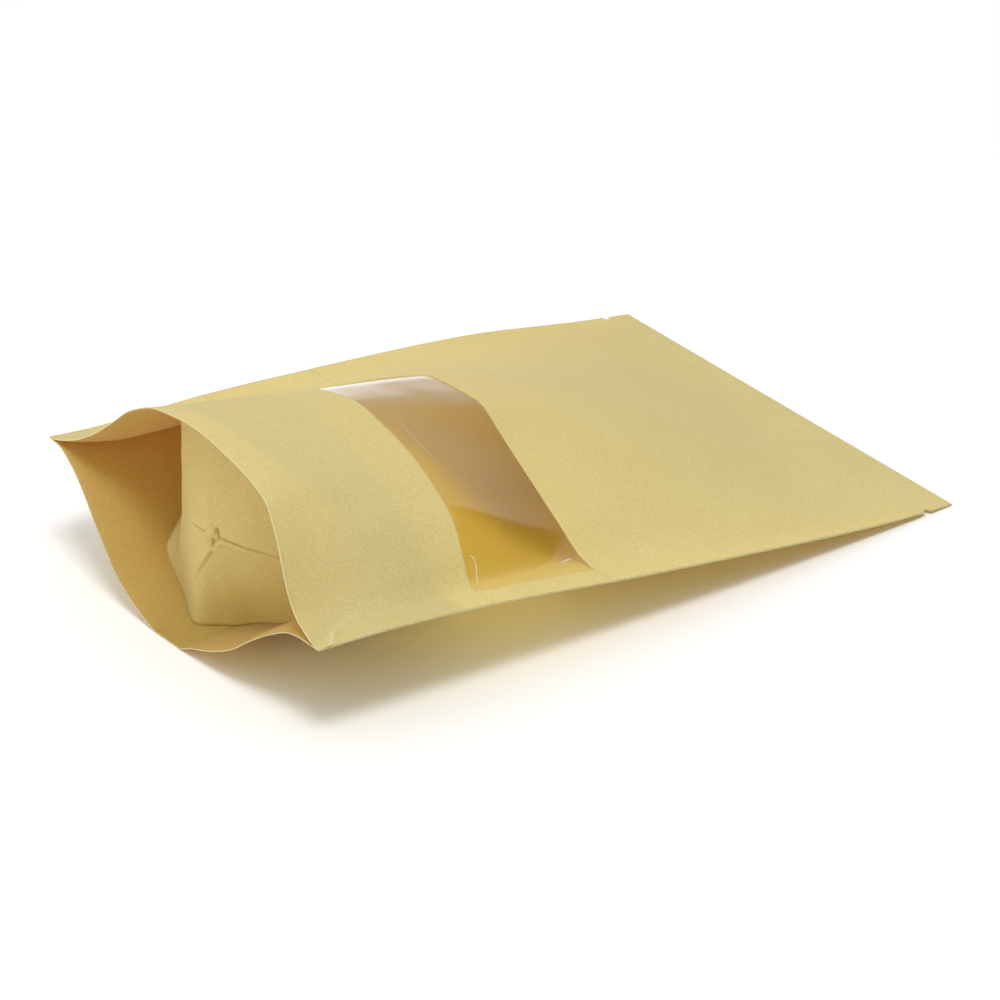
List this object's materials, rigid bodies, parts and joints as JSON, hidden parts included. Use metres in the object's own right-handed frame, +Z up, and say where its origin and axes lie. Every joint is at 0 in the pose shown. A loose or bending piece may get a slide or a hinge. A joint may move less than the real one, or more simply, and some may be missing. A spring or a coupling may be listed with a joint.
{
  "type": "kraft zip-lock pouch",
  "caption": "Empty kraft stand-up pouch with a clear strip across its front, side seals, tear notches and an opened base gusset, lying on its back.",
  "frame": {"origin": "on the floor below the centre of the bounding box", "axes": "+X from the open base to the mouth, +Y across the pouch, +Z up, away from the back wall"},
  "size_m": [0.24, 0.16, 0.0705],
  "materials": {
    "kraft": "matt kraft paper, unprinted",
    "clear_film": "clear glossy film"
  },
  "bodies": {
    "root": {"kraft_pouch": "kraft", "window_film": "clear_film"}
  },
  "joints": []
}
